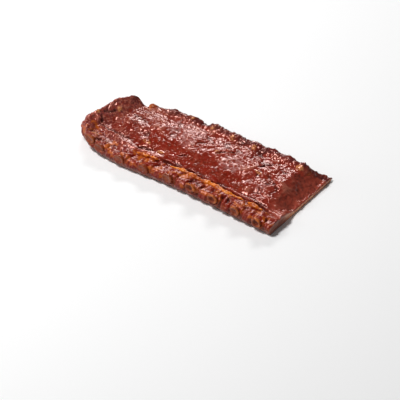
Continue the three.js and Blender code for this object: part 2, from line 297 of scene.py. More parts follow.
def rib_front(i):
    return 21 + 37 * i + 0.25 * i**2 - 26 * (i / (RIB_COUNT - 1)) ** 12


def rib_back(i):
    return 40.5 + 30.5 * i - 9 * math.sin(math.pi * i / (RIB_COUNT - 1))


def rib_line(i, b):
    return -mix(rib_front(i), rib_back(i), b)


def swell(x, b, spread, start=0.0):
    """1 on the line of a rib and 0 far from it. start 0.5 gives the lines between the ribs."""
    most = np.zeros_like(x)
    for i in np.arange(start, RIB_COUNT):
        most = np.maximum(most, bell(x, rib_line(i, b), spread))
    return most


def lumps(x, y):
    coarse = np.sin(x * 0.118 + 1.3 * np.sin(y * 0.061)) * np.sin(y * 0.103 + 0.9 * np.sin(x * 0.047))
    fine = np.sin(x * 0.29 + y * 0.17 + 1.1 * np.sin(y * 0.21)) * np.sin(y * 0.33 - x * 0.08)
    return 0.8 * coarse + 0.15 * fine


def plan_point(a, b):
    """The plan at shares a and b, with its distances to the four sides."""
    front = front_edge(a)
    back = back_edge(a) + flap_reach(a)
    bow = (END_BOW * np.sin(np.pi * b) + 4.5 * bell(b, 0.18, 0.13)) * clamp(1 - a / 0.3) ** 2
    cut_corner = CORNER_REACH * (clamp(1 - b / 0.25) * clamp(1 - a / 0.2)) ** 2
    y = mix(front, back, b)
    length = mix(RACK_LENGTH, BACK_LENGTH, b)
    return SimpleNamespace(
        a=a,
        b=b,
        x=cut_corner - bow - mix(RACK_LENGTH * (1 - a), CUT_SLANT + BACK_LENGTH * (1 - a), b),
        y=y,
        to_front=y - front,
        to_back=back - y,
        to_left=a * length,
        to_cut=(1 - a) * length,
    )


# Heights of the smooth shape
def creased(p):
    """1 where the crease runs along the rack, 0 left of it."""
    return rise(CREASE_START, CREASE_FULL, p.x)


def front_height(p):
    """The front band with a swell over each rib, the crease and the lip behind it, and the trough."""
    z = BAND_HEIGHT + (BAND_SWELL * swell(p.x, p.b, 11) - 1.6) * rise(20, 8, p.to_front)
    z += (LIP_HEIGHT - BAND_HEIGHT) * rise(CREASE_INSET - 1.5, CREASE_INSET + 3, p.to_front)
    z -= CREASE_DEPTH * bell(p.to_front, CREASE_INSET, 2.4) * creased(p) * rise(-8, 6, p.to_cut)
    return z - TROUGH_DEPTH * bell(p.to_front, TROUGH_INSET, 8)


def back_rise(p):
    """How far the meat rises above its lip: its slope, the hollow and the back rim with its knobs."""
    z = (MEAT_HEIGHT - LIP_HEIGHT) * mix(clamp((p.b - 0.2) / 0.42), rise(0.2, 0.62, p.b), 0.4)
    z -= (MEAT_HEIGHT - HOLLOW_HEIGHT) * rise(0.7, 0.84, p.b)
    knobs = RIM_SWELL * swell(p.x, p.b, 9.5) - 1
    return z + (RIM_HEIGHT - HOLLOW_HEIGHT + knobs) * rise(18, 8, p.to_back) * rise(0.12, 0.2, p.a)


def left_rise(p):
    """The rim of the left end, the dip beside it, and the hump at the back with its notch."""
    rim = END_RIM_RISE + 2.5 * bell(p.b, 0.2, 0.14)
    z = rim * bell(p.to_left, 8, 9 - 4 * rise(0.7, 0.9, p.b)) * rise(-0.28, 0.06, p.b)
    z -= END_DIP * bell(p.to_left, 27, 9) * rise(0.15, 0.4, p.b)
    z += HUMP_RISE * bell(p.to_left, 5, 9) * bell(p.b, 0.84, 0.2)
    return z - NOTCH_DEPTH * bell(p.a, NOTCH_AT, NOTCH_SPREAD) * rise(0.84, 0.94, p.b)


def top_height(p):
    z = front_height(p) + back_rise(p) + left_rise(p)
    z += lumps(p.x, p.y) * rise(2, 12, p.to_front) - 2.5 * rise(0.9, 1, p.a)
    z = mix(z, FLAP_HEIGHT, rise(0.9, 1, p.a) * rise(0.12, 0.42, p.b))
    z = mix(FRONT_EDGE_HEIGHT, z, round_over(p.to_front, 6))
    z = mix(np.minimum(BACK_EDGE_HEIGHT, z - 3), z, round_over(p.to_back, 6))
    z = mix(LEFT_EDGE_HEIGHT, z, round_over(p.to_left, 7))
    return z - 1.2 * (1 - round_over(p.to_cut, 2))


def underside_height(p):
    """The arch of the bone side with a ridge over each rib, and the rounded lower edges."""
    arch = rise(0.09, 0.36, p.b) * rise(0.9, 0.64, p.b) * rise(0.03, 0.16, p.a) * rise(1, 0.86, p.a)
    z = (ARCH_HEIGHT - UNDERSIDE_RIDGE * swell(p.x, p.b, 8)) * arch - 0.5
    z += 4.5 * (1 - round_over(p.to_front, 6))
    z += 5 * (1 - round_over(p.to_back, 7))
    z += 6 * (1 - round_over(p.to_left, 16))
    return np.maximum(0, z)


def wall_swell(x, b, over_ribs, between_ribs, spread):
    return 1 + over_ribs * swell(x, b, spread) + between_ribs * swell(x, b, spread, 0.5)


# Noise over points in millimetres
def soft_noise(points, size, seed):
    """Smooth noise from -1 to 1 with lumps of that size."""
    spread = points / size + seed * 17.31
    return np.array([noise.noise(p) for p in spread.tolist()])


def pebbles(points, size, seed):
    """Rounded pebbles of that size with narrow valleys between them, from 0 in a valley to 1 on top."""
    spread = (points / size + seed * 9.73).tolist()
    near = np.array([noise.voronoi(p)[0][:2] for p in spread])
    gap = near[:, 1] - near[:, 0]
    return rise(0, 0.55, gap)


def groove(p, start, end, width, wander):
    """1 in a crooked crack between two points of the plan, fading to 0 beside it."""
    start, end = np.array(start, float), np.array(end, float)
    along = end - start
    length = np.linalg.norm(along)
    along /= length
    across = np.array((-along[1], along[0]))
    from_start = np.stack((p.x - start[0], p.y - start[1]), axis=1)
    u = from_start @ along
    side = from_start @ across + wander * np.sin(u * 0.45) + 0.4 * wander * np.sin(u * 1.3 + 1)
    taper = rise(-2, 5, u) * rise(length + 2, length - 5, u)
    return bell(side, 0, width) * taper


# Mesh helpers
def positions_of(mesh):
    flat = np.empty(len(mesh.vertices) * 3, np.float32)
    mesh.vertices.foreach_get("co", flat)
    return flat.reshape(-1, 3).astype(float)


def normals_of(mesh):
    flat = np.empty(len(mesh.vertices) * 3, np.float32)
    mesh.vertex_normals.foreach_get("vector", flat)
    return flat.reshape(-1, 3).astype(float)


def set_positions(mesh, points):
    mesh.vertices.foreach_set("co", points.astype(np.float32).ravel())
    mesh.update()


def set_mask(mesh, name, values):
    attribute = mesh.attributes.new(name, "FLOAT", "POINT")
    attribute.data.foreach_set("value", np.asarray(values, np.float32))


def in_frame(points):
    """Rack coordinates in millimetres as the model's own frame in metres."""
    return (points - CENTRE) * MM


def piece_from(bm, name):
    mesh = bpy.data.meshes.new(name)
    bm.to_mesh(mesh)
    bm.free()
    mesh.polygons.foreach_set("use_smooth", [True] * len(mesh.polygons))
    piece = bpy.data.objects.new(name, mesh)
    bpy.context.scene.collection.objects.link(piece)
    return piece


def remove_old(name):
    old = bpy.data.objects.get(name)
    if old is not None:
        bpy.data.objects.remove(old)


def quarter_turn(bm, axis):
    bmesh.ops.rotate(bm, cent=(0, 0, 0), matrix=Matrix.Rotation(math.radians(90), 3, axis), verts=bm.verts)


def subdivided_box(steps):
    """A unit box with that number of steps along X, Y and Z."""
    bm = bmesh.new()
    bmesh.ops.create_cube(bm, size=1.0)
    for axis, count in enumerate(steps):
        along = [e for e in bm.edges if abs((e.verts[0].co - e.verts[1].co)[axis]) > 1e-6]
        bmesh.ops.subdivide_edges(bm, edges=along, cuts=count - 1, use_grid_fill=True)
    bmesh.ops.recalc_face_normals(bm, faces=bm.faces)
    return bm


# The smooth shape of the meat and the parts of its surface
def meat_shape(even):
    """Puts the points of a unit box on the smooth shape of the meat. Returns them with their plan."""
    t = even + 0.5
    p = plan_point(eased(t[:, 0], 0.02), eased(t[:, 1], 0.05))
    bulge = np.sin(np.pi * t[:, 2])
    low, high = underside_height(p), top_height(p)
    x, y = p.x.copy(), p.y.copy()
    front, back, left = t[:, 1] < 1e-4, t[:, 1] > 1 - 1e-4, t[:, 0] < 1e-4
    y -= front * bulge * wall_swell(x, 0.0, 2.2, 1.4, 7)
    y += back * bulge * wall_swell(x, 1.0, 1.6, 0.5, 8) * rise(1, FLAP_START, p.a)
    x -= left * bulge * (2.5 * rise(0, 0.12, p.b) - 1.5)
    p.height = t[:, 2]
    p.under = rise(0.3, 0.0, t[:, 2])
    p.cut = rise(1 - 2e-4, 1 - 1e-4, t[:, 0])
    return np.stack((x, y, mix(low, high, t[:, 2])), axis=1), p


def patch_cover(points, patches, wander):
    """1 inside the oval patches, 0 outside, with a ragged edge."""
    cover = np.zeros(len(points))
    for x, y, half_length, half_width in patches:
        reach = np.hypot((points[:, 0] - x) / half_length, (points[:, 1] - y) / half_width)
        cover = np.maximum(cover, rise(1.2, 0.8, reach + 0.3 * wander))
    return cover


def rib_distance(x, b):
    """How far each point is from the nearest rib, along the rack."""
    nearest = np.full_like(x, RACK_LENGTH)
    for i in range(RIB_COUNT):
        nearest = np.minimum(nearest, np.abs(x - rib_line(i, b)))
    return nearest


def meat_cracks(p):
    """1 in the cracks of the meat side, 0 beside them."""
    deepest = np.zeros_like(p.x)
    for start, end, width, wander in CRACKS:
        deepest = np.maximum(deepest, groove(p, start, end, width, wander))
    return deepest


def collars(points, p):
    """1 on the collars of meat round the sawn rib ends, and how far to the upper right of one a point is."""
    most = np.zeros_like(p.x)
    turned = np.zeros_like(p.x)
    for i in range(RIB_COUNT):
        u = (points[:, 0] - rib_line(i, p.b)) / (BONE_HALF_WIDTH + SAWN_WIDER)
        v = (points[:, 2] - SAWN_HEIGHTS[i] - 1.2) / (BONE_HALF_DEPTH + SAWN_DEEPER + 1.2)
        reach = np.hypot(u, v)
        collar = bell(reach, COLLAR_SIZE, 0.16) * rise(9, 4, p.to_front) * mix(0.25, 1, SAWN_CLEARNESS[i])
        turned = np.where(collar > most, (u + v) / np.maximum(reach, 0.01), turned)
        most = np.maximum(most, collar)
    return most, turned


def meat_masks(points, p):
    """Which part of the meat each point belongs to, from 0 to 1 each."""
    wander = soft_noise(points, 12, 1)
    outside = 1 - p.under
    flap_top = rise(0.9, 0.96, p.a) * rise(0.85, 1, p.height)
    upper = np.maximum(rise(7, 12, points[:, 2]), flap_top) * outside
    band = rise(25, 21, p.to_front + wander) * outside
    back_rim = rise(15, 9, p.to_back + 2 * wander) * outside * rise(0.1, 0.18, p.a)
    left_end = rise(26, 14, p.to_left + 4 * wander) * outside
    rough = patch_cover(points, ROUGH_PATCHES, wander)
    rough = np.maximum(rough, HALF_ROUGH * patch_cover(points, HALF_ROUGH_PATCHES, wander))
    inner = upper * (1 - band) * (1 - back_rim) * (1 - left_end)
    near_trough = rise(27, 31, p.to_front + wander) * rise(80, 60, p.to_front + 10 * wander)
    lip = bell(p.to_front, LIP_INSET, 4.5) * upper
    pool = (1 - rough) * inner * near_trough * (1 - 0.5 * lip)
    rough = np.maximum(rough, np.maximum(mix(0.5, 0.12, near_trough), HALF_ROUGH * lip))
    return SimpleNamespace(
        upper=upper,
        band=band,
        back_rim=back_rim,
        left_end=left_end,
        pool=pool,
        rough=rough * upper * (1 - band) * (1 - 0.4 * left_end),
        flap=rise(0.9, 0.97, p.a) * rise(0.08, 0.2, p.b) * upper,
        crack=meat_cracks(p) * upper,
    )


# The relief of the meat: how far its surface stands out of the smooth shape, in millimetres
def front_barrels(points, p, collar):
    """The rounded lumps of the front wall between the rib ends, and the grooves beside them."""
    distance = rib_distance(p.x, p.b) + 0.8 * soft_noise(points, 9, 15)
    at_front = rise(19, 8, p.to_front)
    groove_depth = 2.2 + 1.8 * soft_noise(points, 25, 16)
    shown = mix(0.35, 1, rise(-185, -145, p.x))
    grooves = -groove_depth * bell(distance, 10.4, 1.3) * shown
    barrels = 1.2 * rise(11, 14, distance) * shown
    stripes = 0.25 * np.sin(p.x * 1.7 + 2 * soft_noise(points, 15, 17)) * rise(8, 2, p.to_front)
    uneven = 1.3 * soft_noise(points, 11, 22) + 0.6 * soft_noise(points, 5, 23)
    return (grooves + barrels + stripes + uneven - 0.5) * at_front + COLLAR_RISE * collar


def wide_relief(points, p, masks):
    """Wide swells with low ridges between them, weaker in the pool of glaze."""
    swells = 1.2 * soft_noise(points, 30, 4) + 2.4 * (0.22 - np.abs(soft_noise(points, 24, 19)))
    return swells * masks.upper * rise(4, 14, p.to_front) * (1 - 0.35 * masks.pool)


def band_relief(points, p, masks):
    """Knobs and crumbs of the front band."""
    knobs = (1.5 * pebbles(points, 10, 5) - 0.9) * rise(4, 12, p.to_front)
    crumbs = 0.6 * soft_noise(points, 3.4, 26) + 0.4 * pebbles(points, 4, 27)
    return (knobs + crumbs) * masks.band


def rim_relief(points, masks):
    """Knobs of the back rim."""
    return (1.6 * pebbles(points, 8, 6) - 0.6 + 0.6 * soft_noise(points, 3.2, 36)) * masks.back_rim


def rough_relief(points, masks):
    """Lumps of the rough patches, and a little unevenness of the rest."""
    coarse = 1.1 * soft_noise(points, 10, 7) * (0.2 + 0.8 * masks.rough)
    small = 0.8 * soft_noise(points, 4.2, 8) + 0.8 * soft_noise(points, 2.4, 9)
    return coarse + small * masks.rough


def left_relief(points, p, masks):
    """Folds, crumbs and wrinkles of the left end."""
    folds = 0.7 * np.sin(p.to_left * 0.5 + 2.5 * soft_noise(points, 22, 10)) * masks.upper
    crumbs = 0.8 * soft_noise(points, 5, 24) + 0.45 * soft_noise(points, 2.6, 25)
    wrinkles = 0.9 * bell(soft_noise(points * (1, 1, 0.5), 11, 28), 0, 0.07) * masks.upper
    return (folds + crumbs - wrinkles) * masks.left_end


def crease_relief(points, p, masks):
    """The sharp line of the crease, and the ragged lip of the meat behind it."""
    line = CREASE_INSET + 0.4 + 1.2 * soft_noise(points, 16, 13)
    crease = -1.8 * bell(p.to_front, line, 0.9) + 0.4 * bell(p.to_front, line + 3.0, 1.5)
    lip = 0.5 * bell(p.to_front, TROUGH_INSET + 1, 5) - 1.2 * bell(p.to_front, LIP_INSET, 3.2)
    crumbs = 0.7 * soft_noise(points, 3.2, 31) + 0.4 * soft_noise(points, 1.9, 32)
    lip += crumbs * bell(p.to_front, LIP_INSET - 1.5, 4.5)
    return (crease * rise(1.0, 0.97, p.a) + lip) * creased(p) * masks.upper


def small_relief(points, masks):
    """The skin of the glaze, the dimples of its pool, the flap, the cracks and the fatty spots."""
    skin = 0.3 * soft_noise(points, 7, 11) + 0.12 * soft_noise(points, 2.5, 12)
    dimples = 0.24 * rise(0.1, 0.35, soft_noise(points, 2.1, 33)) * masks.pool
    flap = (0.7 * soft_noise(points, 5, 34) + 0.5 * soft_noise(points, 2.6, 35)) * masks.flap
    spots = SPOT_RISE * patch_cover(points, LIGHT_SPOTS, 0) * masks.upper
    return skin + dimples + flap + spots - CRACK_DEPTH * masks.crack


def meat_relief(points, p, masks, collar):
    outside = wide_relief(points, p, masks) + rough_relief(points, masks) + small_relief(points, masks)
    outside += band_relief(points, p, masks) + front_barrels(points, p, collar)
    outside += rim_relief(points, masks) + left_relief(points, p, masks) + crease_relief(points, p, masks)
    membrane = 0.4 * soft_noise(points, 9, 18)
    cut_grain = 0.3 * soft_noise(points * (1, 0.3, 1), 2.2, 14)
    return mix(mix(outside, membrane, p.under), cut_grain, p.cut)


def meat_finish_masks(points, p, masks):
    """The masks that only the material of the meat reads."""
    film = patch_cover(points, FILM_AND_SHEEN_PATCHES, soft_noise(points, 8, 29))
    spots = patch_cover(points, LIGHT_SPOTS, soft_noise(points, 5, 21))
    return {
        "cut_face": p.cut,
        "film": film * masks.upper,
        "spots": spots * masks.upper,
        "left_part": rise(-225, -290, p.x) * masks.upper,
        # Painted shade: the foot of the front wall, near the table.
        "low": rise(15, 4, points[:, 2]) * rise(3, 0.5, p.to_front),
        "bone_side": p.under,
        "across": p.b,
        "crust": np.maximum(rise(0.12, 0.04, p.height), rise(0.9, 0.97, p.height)),
    }


def build_meat(settings):
    piece = piece_from(subdivided_box((LENGTH_STEPS, WIDTH_STEPS, HEIGHT_STEPS)), "glazed_meat")
    mesh = piece.data
    points, p = meat_shape(positions_of(mesh))
    set_positions(mesh, points)
    normals = normals_of(mesh)
    masks = meat_masks(points, p)
    collar, turned = collars(points, p)
    relief = meat_relief(points, p, masks, collar) * settings.relief
    moved = points + normals * relief[:, None]
    moved[:, 2] = np.where(points[:, 2] < 0.01, 0.0, np.maximum(moved[:, 2], 0.0))
    set_positions(mesh, in_frame(moved))
    for name in ("band", "back_rim", "left_end", "pool", "rough", "flap", "crack"):
        set_mask(mesh, name, getattr(masks, name))
    for name, values in meat_finish_masks(points, p, masks).items():
        set_mask(mesh, name, values)
    set_mask(mesh, "relief", clamp(0.5 + 0.25 * relief))
    # The collars only on their upper right, where their orange is a painted highlight.
    set_mask(mesh, "collar", collar * rise(-1.2, 1.0, turned))
    return piece


# The rib bones
def bone_cylinder():
    """A unit cylinder along Y, with rings along it and round both of its ends."""
    bm = bmesh.new()
    bmesh.ops.create_cone(bm, cap_ends=True, segments=BONE_SIDES, radius1=1.0, radius2=1.0, depth=1.0)
    quarter_turn(bm, "X")
    long_edges = [e for e in bm.edges if abs((e.verts[0].co - e.verts[1].co).y) > 0.5]
    bmesh.ops.subdivide_edges(bm, edges=long_edges, cuts=BONE_RINGS - 1)
    for _ in range(CAP_RINGS - 1):
        caps = [f for f in bm.faces if len(f.verts) > 4]
        bmesh.ops.inset_individual(bm, faces=caps, thickness=1 / CAP_RINGS)
    caps = [f for f in bm.faces if len(f.verts) > 4]
    bmesh.ops.poke(bm, faces=caps)
    bmesh.ops.recalc_face_normals(bm, faces=bm.faces)
    return bm


def bone_section(i, q):
    """Half the width, half the depth and the middle height of rib bone i at share q of its length."""
    sawn = bell(q, 0, 0.07)
    knob = bell(q, 0.955, 0.05)
    shrink = mix(0.6, 1, round_over(1 - q, 0.05))
    wider = KNOB_WIDER + KNOB_UNEVEN * math.sin(i * 2.7)
    deeper = KNOB_DEEPER + KNOB_UNEVEN * math.sin(i * 4.1)
    half_width = (BONE_HALF_WIDTH + SAWN_WIDER * sawn + wider * knob) * shrink
    half_depth = (BONE_HALF_DEPTH + SAWN_DEEPER * sawn + deeper * knob) * shrink
    middle = BONE_Z + (SAWN_HEIGHTS[i] - BONE_Z) * sawn + (KNOB_HEIGHTS[i] - BONE_Z) * rise(0.72, 0.95, q)
    return half_width, half_depth, middle


def bone_shape(even, i):
    """Puts the points of a unit cylinder on rib bone i. Returns them with their share and the marrow."""
    t = even[:, 1] + 0.5
    q = t - 0.62 * np.sin(2 * np.pi * t) / (2 * np.pi)
    front_y = front_edge(1 - rib_front(i) / RACK_LENGTH) - SAWN_REACHES[i]
    back_y = back_edge(1 - (rib_back(i) - CUT_SLANT) / BACK_LENGTH) + KNOB_REACH
    half_width, half_depth, middle = bone_section(i, q)
    radius = np.hypot(even[:, 0], even[:, 2])
    is_front_cap, is_back_cap = t < 1e-4, t > 1 - 1e-4
    dish = SAWN_DISH * rise(0.75, 0.3, radius) + SAWN_BEVEL * rise(0.8, 1.0, radius) - 0.3
    x = rib_line(i, q) + even[:, 0] * half_width
    y = mix(front_y, back_y, q)
    y += is_front_cap * SAWN_CLEARNESS[i] * dish
    y += is_back_cap * KNOB_DOME * (1 - radius**2)
    z = middle + even[:, 2] * half_depth
    marrow = is_front_cap * rise(0.75, 0.5, radius)
    return np.stack((x, y, z), axis=1), q, marrow


def build_bone(i, settings):
    piece = piece_from(bone_cylinder(), f"rib_{i + 1}")
    mesh = piece.data
    even = positions_of(mesh)
    sideways, upwards = even[:, 0], even[:, 2]
    points, q, marrow = bone_shape(even, i)
    set_positions(mesh, points)
    covered = 1 - SAWN_CLEARNESS[i]
    relief = (0.5 + 0.7 * covered) * soft_noise(points, 5, 20 + i) + 0.25 * soft_noise(points, 2, 40 + i)
    moved = points + normals_of(mesh) * relief[:, None] * settings.relief
    set_positions(mesh, in_frame(moved))
    in_back_half = q > 0.5
    front_shade = rise(0.6, -0.8, sideways + upwards)
    set_mask(mesh, "marrow", marrow * (1 - 0.8 * covered))
    set_mask(mesh, "covered", np.where(in_back_half, 0.0, covered))
    set_mask(mesh, "shaded", np.where(in_back_half, rise(-0.5, 0.3, sideways), front_shade))
    return piece


# The fat strips
def build_fat_strip(number, near, far, half_width, settings):
    bm = bmesh.new()
    rings = max(FAT_FEWEST_RINGS, int(far - near))
    bmesh.ops.create_uvsphere(bm, u_segments=FAT_SIDES, v_segments=rings, radius=1.0)
    quarter_turn(bm, "Y")
    piece = piece_from(bm, f"crease_fat_{number}")
    mesh = piece.data
    ball = positions_of(mesh)
    along = mix(far, near, (ball[:, 0] + 1) / 2)
    a = 1 - along / RACK_LENGTH
    thickness = 1 + 0.22 * np.sin(along * 0.31) + 0.12 * np.sin(along * 0.83)
    y = front_edge(a) + FAT_INSET + 0.9 * np.sin(along * 0.12)
    z = top_height(plan_point(a, FAT_INSET / (back_edge(a) - front_edge(a)))) + FAT_RISE
    y += ball[:, 1] * half_width * thickness
    z += ball[:, 2] * FAT_HALF_HEIGHT * thickness
    points = np.stack((-along, y, z), axis=1)
    set_positions(mesh, points)
    relief = -0.1 + 1.0 * soft_noise(points, 9, 60 + number) + 0.5 * soft_noise(points, 3.5, 70 + number)
    moved = points + normals_of(mesh) * relief[:, None] * settings.relief
    set_positions(mesh, in_frame(moved))
    set_mask(mesh, "glazed", FAT_GLAZED[number - 1] + 0.9 * bell(along, FAT_DIP_AT, FAT_DIP_SPREAD))
    return piece


# Materials
class Nodes:
    """Adds nodes to a material's tree and links them."""

    def __init__(self, name):
        self.material = bpy.data.materials.get(name) or bpy.data.materials.new(name)
        self.material.use_nodes = True
        self.tree = self.material.node_tree
        self.tree.nodes.clear()
        self.shader = self.add("ShaderNodeBsdfPrincipled")
        output = self.add("ShaderNodeOutputMaterial")
        self.link(self.shader.outputs["BSDF"], output.inputs["Surface"])
        self.place = self.add("ShaderNodeTexCoord").outputs["Object"]

    def add(self, kind, **settings):
        node = self.tree.nodes.new(kind)
        for key, value in settings.items():
            setattr(node, key, value)
        return node

    def link(self, source, target):
        self.tree.links.new(source, target)

    def feed(self, target, value):
        if isinstance(value, bpy.types.NodeSocket):
            self.link(value, target)
        else:
            target.default_value = value

    def mask(self, name):
        return self.add("ShaderNodeAttribute", attribute_name=name).outputs["Fac"]

    def noise(self, size, detail=3.0, distortion=0.0, stretch=(1, 1, 1)):
        """Noise from 0 to 1 with lumps of that size in millimetres."""
        mapping = self.add("ShaderNodeMapping")
        mapping.inputs["Scale"].default_value = stretch
        self.link(self.place, mapping.inputs["Vector"])
        texture = self.add("ShaderNodeTexNoise")
        self.link(mapping.outputs["Vector"], texture.inputs["Vector"])
        texture.inputs["Scale"].default_value = 1 / (size * MM)
        texture.inputs["Detail"].default_value = detail
        texture.inputs["Distortion"].default_value = distortion
        return texture.outputs["Fac"]

    def band(self, value, low, high, to_low=0.0, to_high=1.0):
        """value from low to high as to_low to to_high, smoothly, and clamped."""
        node = self.add("ShaderNodeMapRange", interpolation_type="SMOOTHSTEP")
        self.feed(node.inputs["Value"], value)
        for key, number in zip(("From Min", "From Max", "To Min", "To Max"), (low, high, to_low, to_high)):
            node.inputs[key].default_value = number
        return node.outputs["Result"]

    def maths(self, operation, first, second, clamped=False):
        node = self.add("ShaderNodeMath", operation=operation, use_clamp=clamped)
        self.feed(node.inputs[0], first)
        self.feed(node.inputs[1], second)
        return node.outputs[0]

    def times(self, first, second):
        return self.maths("MULTIPLY", first, second)

    def most(self, first, second):
        return self.maths("MAXIMUM", first, second)

    def mottled(self, name, texture, low, high, to_low=0.0, to_high=1.0):
        """The mask of that name, times the texture put through band."""
        return self.times(self.mask(name), self.band(texture, low, high, to_low, to_high))

    def blend(self, amount, first, second):
        """first where amount is 0 and second where it is 1."""
        node = self.add("ShaderNodeMix", data_type="RGBA", blend_type="MIX")
        self.feed(node.inputs["Factor"], amount)
        for socket, value in ((node.inputs[6], first), (node.inputs[7], second)):
            self.feed(socket, value if isinstance(value, bpy.types.NodeSocket) else (*value[:3], 1.0))
        return node.outputs[2]

    def bump(self, height, distance, strength=1.0):
        """A normal that follows the height, which is worth that distance in millimetres."""
        node = self.add("ShaderNodeBump")
        node.inputs["Distance"].default_value = distance * MM
        self.feed(node.inputs["Strength"], strength)
        self.link(height, node.inputs["Height"])
        return node.outputs["Normal"]

    def shine(self, shine, tint):
        specular, coat, coat_roughness = shine
        self.shader.inputs["Specular IOR Level"].default_value = specular
        self.shader.inputs["Specular Tint"].default_value = (*tint, 1.0)
        self.shader.inputs["Coat Weight"].default_value = coat
        self.shader.inputs["Coat Roughness"].default_value = coat_roughness


def browned_colour(n, settings):
    """Browned meat under the glaze, lighter and rosy on its lumps with painted highlight, and darkened in
    its pits as painted shade.
    """
    relief, rough = n.mask("relief"), n.mask("rough")
    colour = n.blend(n.band(n.noise(14, 4, 0.6), 0.35, 0.65), settings.glaze_colour, settings.meat_colour)
    colour = n.blend(n.times(rough, 0.7), colour, settings.rough_colour)
    # Painted highlight: lump tops lighter and rosy, partly the lighter meat itself.
    highlighted_peaks = n.times(n.band(relief, 0.55, 0.85), n.maths("ADD", rough, 0.3, clamped=True))
    colour = n.blend(highlighted_peaks, colour, settings.peak_and_highlight_colour)
    # Painted shade: darker in the pits of the relief.
    colour = n.blend(n.times(n.band(relief, 0.42, 0.12), 0.8), colour, settings.char_and_shade_colour)
    specks = n.mottled("rough", n.noise(2.6, 3), 0.55, 0.7, 0, 0.6)
    return n.blend(specks, colour, settings.char_and_shade_colour)


def pool_colour(n, colour, settings):
    """The pool of smooth glaze with brown patches and red specks, and the flap of the carved end."""
    colour = n.blend(n.times(n.mask("pool"), 0.55), colour, settings.glaze_colour)
    brown = n.mottled("pool", n.noise(6, 5, 0.6), 0.45, 0.57, 0, 0.75)
    colour = n.blend(brown, colour, settings.brown_colour)
    embers = n.mottled("pool", n.noise(3, 4), 0.52, 0.64, 0, 0.6)
    colour = n.blend(embers, colour, settings.ember_colour)
    flap = n.mottled("flap", n.noise(5, 4), 0.3, 0.6, 0.9, 0.4)
    return n.blend(flap, colour, settings.flap_colour)


def rim_colour(n, colour, settings):
    """The darker back rim and left part, and the skin of the left end with rosy painted highlights."""
    rim = n.mottled("back_rim", n.noise(8, 3), 0.4, 0.62, 0.3, 0.85)
    colour = n.blend(rim, colour, settings.purple_colour)
    colour = n.blend(n.times(n.mask("back_rim"), 0.35), colour, settings.char_and_shade_colour)
    colour = n.blend(n.times(n.mask("left_part"), 0.25), colour, settings.char_and_shade_colour)
    skin = n.mottled("left_end", n.noise(9, 4, 0.5), 0.35, 0.6, 0.3, 0.9)
    colour = n.blend(skin, colour, settings.skin_colour)
    purple = n.mottled("left_end", n.noise(6, 4, 0.8), 0.46, 0.6, 0, 0.85)
    colour = n.blend(purple, colour, settings.purple_colour)
    # Painted highlight: rosy specks on the left end.
    rosy_highlights = n.mottled("left_end", n.noise(4, 3), 0.55, 0.68, 0, 0.6)
    return n.blend(rosy_highlights, colour, settings.peak_and_highlight_colour)


def left_colour(n, colour, settings):
    """Dark mottles of the left part and light mottles of painted sparkle, weaker where the glaze pools."""
    shown = n.mottled("left_part", n.mask("pool"), 0.2, 0.8, 1, 0.4)
    dark = n.times(shown, n.band(n.noise(4.5, 4, 0.8), 0.5, 0.62, 0, 0.8))
    colour = n.blend(dark, colour, settings.purple_colour)
    # Painted highlight: light specks standing in for sparkle.
    light = n.times(shown, n.band(n.noise(3.2, 3, 0.4), 0.5, 0.64, 0, 0.75))
    return n.blend(light, colour, settings.highlight_mottle_colour)


def front_colour(n, colour, settings):
    """Painted shade at the foot of the front wall, and the orange fat of the band and of the collars round
    the rib ends, lighter on the upper right of each collar as painted highlight.
    """
    patches = n.mottled("band", n.noise(10, 4, 0.5), 0.5, 0.62, 0, 0.85)
    # Less orange at the foot of the front wall, as painted shade.
    patches = n.times(patches, n.band(n.mask("low"), 0.1, 0.8, 1, 0.25))
    # Orange fat of the collars, shown only on their upper right as painted highlight.
    ring_fat_and_highlight = n.mottled("collar", n.noise(5, 3), 0.35, 0.6, 0.3, 0.9)
    # Painted shade: dark and violet at the foot of the front wall.
    colour = n.blend(n.times(n.mask("low"), 0.6), colour, settings.char_and_shade_colour)
    violet_shade = n.mottled("low", n.noise(12, 3), 0.4, 0.6, 0.2, 0.7)
    colour = n.blend(violet_shade, colour, settings.purple_colour)
    return n.blend(n.most(patches, ring_fat_and_highlight), colour, settings.orange_colour)


def spotted_colour(n, colour, settings):
    """The film of fat and painted sheen on the glaze, the fatty spots and the dark cracks."""
    film = n.mottled("film", n.noise(3.5, 4, 0.5), 0.42, 0.62, 0.05, 0.75)
    colour = n.blend(film, colour, settings.film_and_sheen_colour)
    spots = n.mottled("spots", n.noise(3, 3), 0.42, 0.6, 0.05, 0.85)
    colour = n.blend(spots, colour, settings.spot_colour)
    return n.blend(n.times(n.mask("crack"), 0.75), colour, settings.crack_colour)


def cut_colour(n, settings):
    """Pale cooked meat with streaks of fat, browned at its edge and towards the front."""
    streaks = n.band(n.noise(5, 4, 0.8, stretch=(1, 0.3, 1)), 0.42, 0.6)
    colour = n.blend(streaks, settings.cut_colour, settings.cut_fat_colour)
    across = n.mask("across")
    brown = n.most(n.band(across, 0.34, 0.18), n.band(across, 0.78, 0.95, 0, 0.6))
    colour = n.blend(brown, colour, settings.cut_brown_colour)
    return n.blend(n.times(n.mask("crust"), 0.85), colour, settings.char_and_shade_colour)


def meat_roughness(n):
    """Smooth glaze, duller on the flap and the front band."""
    smooth = n.band(n.noise(4, 3), 0.3, 0.7, 0.09, 0.2)
    dull = n.most(n.times(n.mask("flap"), 0.25), n.times(n.mask("band"), 0.28))
    return n.most(smooth, dull)


def meat_bump(n):
    """Fine lumps that break up the shine, nearly smooth in the pool of glaze but for a few dimples."""
    grain = n.blend(n.mask("pool"), n.noise(2.7, 2), n.band(n.noise(3.2, 2), 0.56, 0.7))
    sparse = n.band(n.noise(6, 2), 0.4, 0.62, 0.3, -0.6)
    strength = n.band(n.maths("ADD", n.mask("pool"), sparse), 0.9, 0.1, 0.32, 0.8)
    return n.bump(grain, 0.6, strength)


